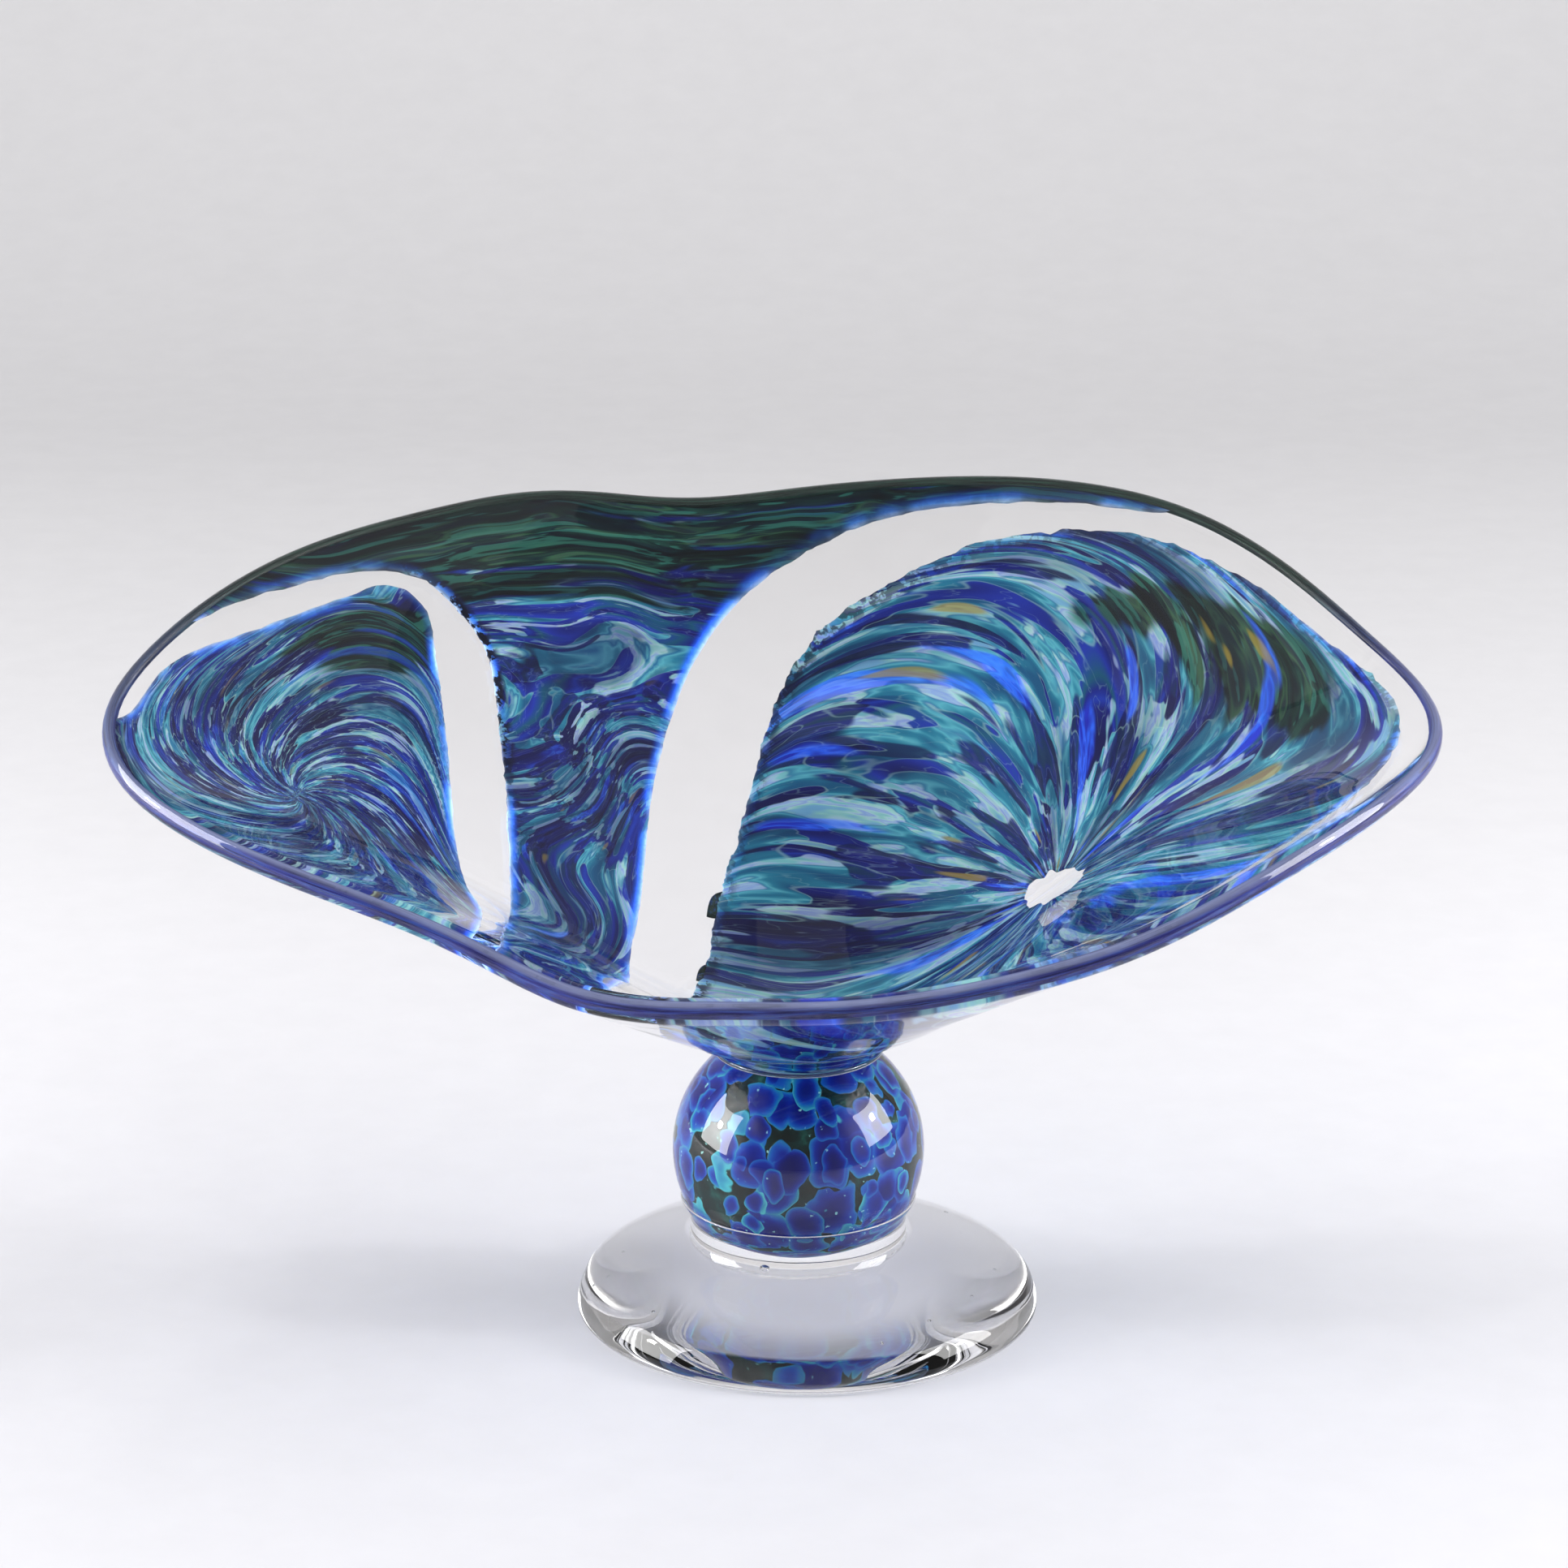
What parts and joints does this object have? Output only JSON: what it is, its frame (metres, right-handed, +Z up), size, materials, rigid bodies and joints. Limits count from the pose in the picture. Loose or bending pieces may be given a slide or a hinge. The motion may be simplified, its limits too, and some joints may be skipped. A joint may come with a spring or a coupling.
{
  "type": "footed glass bowl",
  "caption": "Free-form leaf-shaped art glass bowl with streaked colour cased in clear glass, undulating lip, ball knop with colour chips, and a round domed clear foot.",
  "frame": {"origin": "centre of the foot's base, on the floor", "axes": "+Z up, +X along the long way of the bowl towards the broader lobe, -Y towards the low front lip"},
  "size_m": [0.3312, 0.2144, 0.193],
  "materials": {
    "clear_glass": "clear fire-polished glass",
    "streaked_glass": "translucent glass streaked in blue, teal, violet and pale green",
    "flake": "dark green metallic flake",
    "core_glass": "dark green-black glass",
    "chip_glass": "cobalt and turquoise glass chips"
  },
  "bodies": {
    "root": {"bowl_inner_casing": "clear_glass", "color_panel_left": "streaked_glass", "color_panel_middle": "streaked_glass", "color_panel_right": "streaked_glass", "clear_band_left": "clear_glass", "clear_band_right": "clear_glass", "swirl_window": "clear_glass", "metal_flakes": "flake", "bowl_outer_casing": "clear_glass", "bowl_pad": "clear_glass", "knop_core": "core_glass", "knop_chip_layer": "chip_glass", "knop_casing": "clear_glass", "foot_disc": "clear_glass"}
  },
  "joints": []
}
